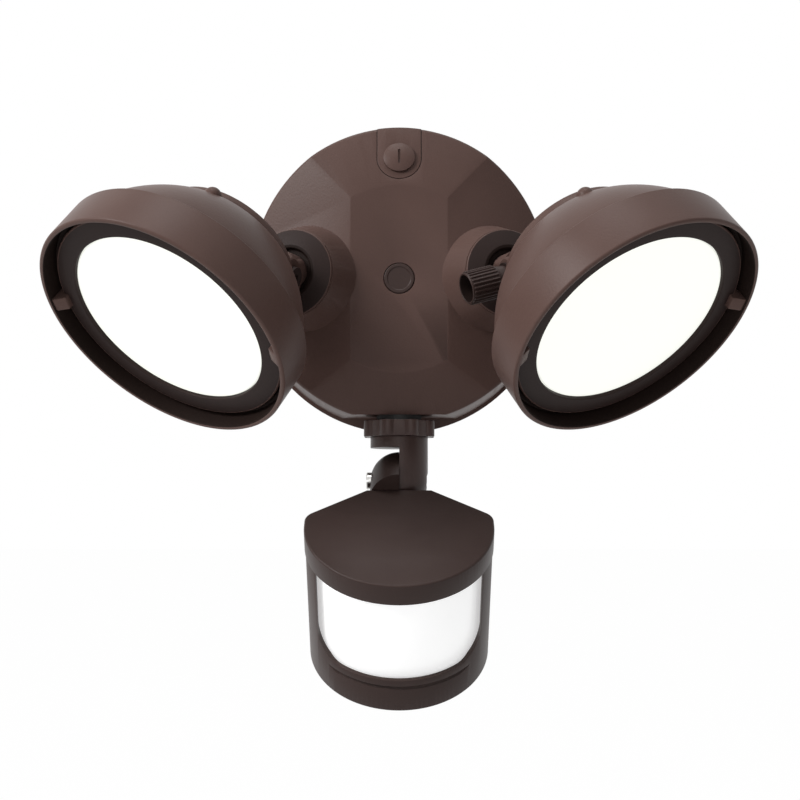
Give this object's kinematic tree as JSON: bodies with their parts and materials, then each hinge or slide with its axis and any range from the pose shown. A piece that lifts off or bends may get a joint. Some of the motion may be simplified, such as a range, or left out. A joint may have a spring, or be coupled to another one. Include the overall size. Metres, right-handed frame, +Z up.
{
  "type": "motion sensor security light",
  "caption": "Outdoor wall light with aimable round lamp heads, a faceted round canopy, thumb-knob knuckles and a tilting motion sensor below.",
  "frame": {"origin": "on the wall plane, on the axis of the central fixing bolt", "axes": "+Z up, +Y into the wall, +X to the right as seen from the front; the light faces -Y"},
  "size_m": [0.2522, 0.133, 0.2299],
  "materials": {
    "bronze": "satin",
    "bronze_plastic": "satin",
    "bright_steel": "satin",
    "zinc_steel": "matte",
    "rubber": "matte",
    "frosted_lens": "gloss",
    "fresnel": "satin",
    "white_plastic": "matte",
    "board": "satin",
    "green_board": "satin",
    "led": "gloss",
    "black_plastic": "matte"
  },
  "bodies": {
    "canopy": {"canopy_housing": "bronze", "wall_gasket": "rubber", "mounting_strap": "zinc_steel", "canopy_bolt": "zinc_steel", "plug_cap": "bronze_plastic", "driver_module": "black_plastic", "driver_screws": "zinc_steel", "selector_bezel": "bronze_plastic", "selector_switch": "black_plastic", "sensor_seal": "rubber", "right_stem_gasket": "rubber", "left_stem_gasket": "rubber"},
    "selector": {"selector_dial": "bronze_plastic"},
    "right_swivel": {"right_arm": "bronze", "right_swivel_collar": "bronze", "right_stem_nut": "zinc_steel"},
    "right_head": {"right_lamp_visor": "bronze", "right_lamp_lens": "frosted_lens", "right_lens_gasket": "rubber", "right_reflector": "white_plastic", "right_led_board": "board", "right_led_chips": "led", "right_lamp_housing": "bronze", "right_housing_seal": "rubber", "right_head_screws": "bright_steel", "right_pivot_bolt": "bright_steel"},
    "right_clamp": {"right_knob": "bronze_plastic", "right_knob_washer": "bright_steel"},
    "left_swivel": {"left_arm": "bronze", "left_swivel_collar": "bronze", "left_stem_nut": "zinc_steel", "left_pivot_bolt": "bright_steel"},
    "left_head": {"left_lamp_visor": "bronze", "left_lamp_lens": "frosted_lens", "left_lens_gasket": "rubber", "left_reflector": "white_plastic", "left_led_board": "board", "left_led_chips": "led", "left_lamp_housing": "bronze", "left_housing_seal": "rubber", "left_head_screws": "bright_steel"},
    "left_clamp": {"left_knob": "bronze_plastic", "left_knob_washer": "bright_steel"},
    "sensor_nut": {"sensor_lock_nut": "bronze_plastic"},
    "sensor_bracket": {"sensor_arm": "bronze_plastic", "sensor_inner_nut": "zinc_steel", "sensor_pivot_nut": "bright_steel"},
    "sensor_head": {"sensor_housing": "bronze_plastic", "sensor_visor": "bronze_plastic", "sensor_lens": "fresnel", "sensor_board": "green_board", "pir_element": "bright_steel", "setting_pots": "white_plastic", "sensor_cover_screws": "bright_steel", "sensor_pivot_screw": "bright_steel"},
    "time_setting": {"time_dial": "black_plastic"},
    "range_setting": {"range_dial": "black_plastic"}
  },
  "joints": [
    {"name": "selector_turn", "type": "hinge", "parent": "canopy", "child": "selector", "pos_m": [0, -0.03024, 0.0486], "axis": [0, -0.972, 0.2352], "range_deg": [-60, 60]},
    {"name": "right_arm_swivel", "type": "hinge", "parent": "canopy", "child": "right_swivel", "pos_m": [0.0372, -0.02639, 0.001], "axis": [0.342, -0.9397, 0], "range_deg": [-60, 75]},
    {"name": "left_arm_swivel", "type": "hinge", "parent": "canopy", "child": "left_swivel", "pos_m": [-0.0372, -0.02639, 0.001], "axis": [0.342, 0.9397, 0], "range_deg": [-60, 75]},
    {"name": "right_head_tilt", "type": "hinge", "parent": "right_swivel", "child": "right_head", "pos_m": [0.04719, -0.05149, -0.00168], "axis": [0.9003, 0.3277, 0.2865], "range_deg": [-45, 30]},
    {"name": "left_head_tilt", "type": "hinge", "parent": "left_swivel", "child": "left_head", "pos_m": [-0.04719, -0.05149, -0.00168], "axis": [0.9003, -0.3277, -0.2865], "range_deg": [-45, 30]},
    {"name": "right_knob_turn", "type": "hinge", "parent": "right_head", "child": "right_clamp", "pos_m": [0.04719, -0.05149, -0.00168], "axis": [-0.9003, -0.3277, -0.2865], "range_deg": [0, 180]},
    {"name": "left_knob_turn", "type": "hinge", "parent": "left_swivel", "child": "left_clamp", "pos_m": [-0.04719, -0.05149, -0.00168], "axis": [-0.9003, 0.3277, 0.2865], "range_deg": [0, 180]},
    {"name": "sensor_nut_turn", "type": "hinge", "parent": "canopy", "child": "sensor_nut", "pos_m": [0, -0.019, -0.058], "axis": [0, 0, -1], "range_deg": [0, 120]},
    {"name": "sensor_swivel", "type": "hinge", "parent": "canopy", "child": "sensor_bracket", "pos_m": [0, -0.019, -0.06], "axis": [0, 0, 1], "range_deg": [-60, 60]},
    {"name": "sensor_tilt", "type": "hinge", "parent": "sensor_bracket", "child": "sensor_head", "pos_m": [0, -0.019, -0.0788], "axis": [1, 0, 0], "range_deg": [-40, 2]},
    {"name": "time_dial_turn", "type": "hinge", "parent": "sensor_head", "child": "time_setting", "pos_m": [-0.011, -0.0137, -0.14464], "axis": [0, 0.592, -0.8059], "range_deg": [-135, 135]},
    {"name": "range_dial_turn", "type": "hinge", "parent": "sensor_head", "child": "range_setting", "pos_m": [0.011, -0.0137, -0.14464], "axis": [0, 0.592, -0.8059], "range_deg": [-135, 135]}
  ]
}
